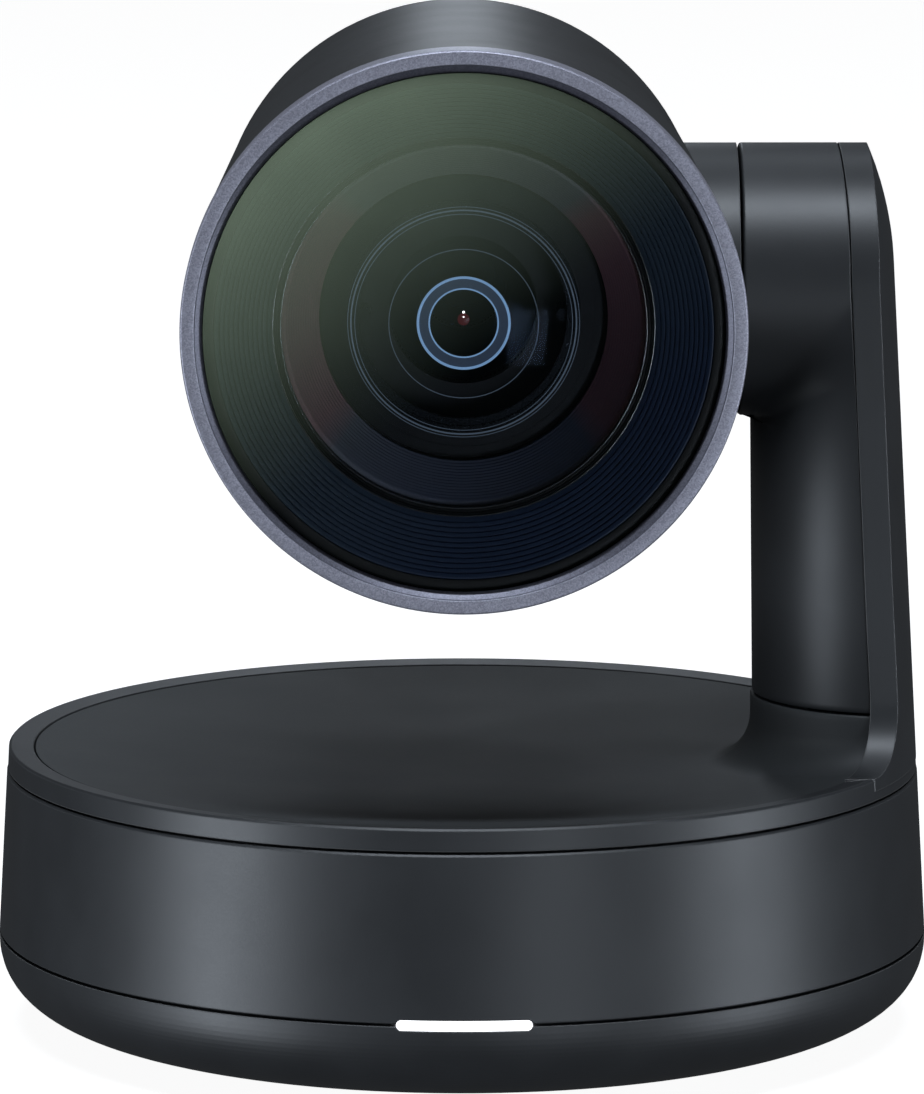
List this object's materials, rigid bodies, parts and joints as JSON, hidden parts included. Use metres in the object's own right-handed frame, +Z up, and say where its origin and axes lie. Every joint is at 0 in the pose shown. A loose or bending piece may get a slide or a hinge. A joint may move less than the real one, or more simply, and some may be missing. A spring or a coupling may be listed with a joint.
{
  "type": "ptz camera",
  "caption": "Desktop pan-tilt-zoom camera: a round base, a turning dished deck with one upright arm, and a barrel head that tilts.",
  "frame": {"origin": "on the pan axis, at the underside of the foot ring", "axes": "+Z up, -Y the way the lens looks, +X the side with the arm"},
  "size_m": [0.152, 0.152, 0.1663],
  "materials": {
    "slate_shell": "satin",
    "slate_deck": "matte",
    "black_plastic": "matte",
    "foot_rubber": "matte",
    "light_diffuser": "glossy",
    "bezel_metal": "bead blasted",
    "bright_metal": "polished",
    "steel": "brushed",
    "cast_frame": "cast",
    "brass": "machined",
    "white_nylon": "matte",
    "motor_steel": "satin",
    "circuit_board": "solder mask",
    "ribbon_film": "film",
    "clear_glass": "coated",
    "lens_glass": "coated",
    "sensor_silicon": "polished"
  },
  "bodies": {
    "base": {"base_bowl": "slate_shell", "base_body": "slate_shell", "foot_ring": "foot_rubber", "tripod_insert": "brass", "light_bar": "light_diffuser", "light_board": "circuit_board", "port_panel": "black_plastic", "io_board": "circuit_board", "power_jack": "black_plastic", "usb_port": "bright_metal", "hdmi_port": "bright_metal", "network_port": "bright_metal", "main_board": "circuit_board", "base_chassis": "cast_frame", "base_screws": "steel", "pan_bearing": "white_nylon", "pan_motor": "motor_steel"},
    "pan_pinion": {"pan_pinion": "brass"},
    "yoke": {"yoke_shell": "slate_shell", "deck_cover": "slate_deck", "arm_cover": "slate_shell", "turntable": "cast_frame", "pan_gear": "white_nylon", "hub_nut": "steel", "deck_screws": "steel", "arm_frame": "cast_frame", "tilt_bearing": "brass", "tilt_motor": "motor_steel", "arm_board": "circuit_board", "arm_ribbon": "ribbon_film"},
    "tilt_pinion": {"tilt_pinion": "brass"},
    "head": {"head_shell": "slate_shell", "rear_cap": "slate_shell", "cap_screws": "steel", "bezel_ring": "bezel_metal", "front_glass": "clear_glass", "baffle_ring": "black_plastic", "trim_ring": "bright_metal", "ribbed_hood": "black_plastic", "front_element": "lens_glass", "lens_retainer": "bright_metal", "lens_barrel": "black_plastic", "head_frame": "cast_frame", "iris_ring": "black_plastic", "rear_lens": "lens_glass", "guide_rods": "bright_metal", "zoom_drive": "steel", "focus_drive": "steel", "sensor_board": "circuit_board", "image_sensor": "sensor_silicon", "head_board": "circuit_board", "heat_sink": "cast_frame", "tilt_axle": "steel", "tilt_gear": "white_nylon", "axle_clip": "steel"},
    "zoom_group": {"zoom_carriage": "black_plastic", "zoom_lens": "lens_glass"},
    "focus_group": {"focus_carriage": "black_plastic", "focus_lens": "lens_glass"}
  },
  "joints": [
    {"name": "pan", "type": "hinge", "parent": "base", "child": "yoke", "pos_m": [0, 0, 0.03], "axis": [0, 0, 1], "range_deg": [-90, 90]},
    {"name": "pan_pinion_spin", "type": "hinge", "parent": "base", "child": "pan_pinion", "pos_m": [-0.03005, 0, 0.023], "axis": [0, 0, 1], "range_deg": [-361, 361]},
    {"name": "tilt", "type": "hinge", "parent": "yoke", "child": "head", "pos_m": [0, 0, 0.1226], "axis": [-1, 0, 0], "range_deg": [-90, 50]},
    {"name": "tilt_pinion_spin", "type": "hinge", "parent": "yoke", "child": "tilt_pinion", "pos_m": [0.05, 0, 0.10015], "axis": [-1, 0, 0], "range_deg": [-185, 331]},
    {"name": "zoom", "type": "slide", "parent": "head", "child": "zoom_group", "axis": [0, 1, 0], "range_m": [0, 0.016]},
    {"name": "focus", "type": "slide", "parent": "head", "child": "focus_group", "axis": [0, 1, 0], "range_m": [-0.003, 0.003]}
  ],
  "couplings": [
    {"joint": "pan_pinion_spin", "follows": "pan", "ratio": -4},
    {"joint": "tilt_pinion_spin", "follows": "tilt", "ratio": -3.6667}
  ]
}
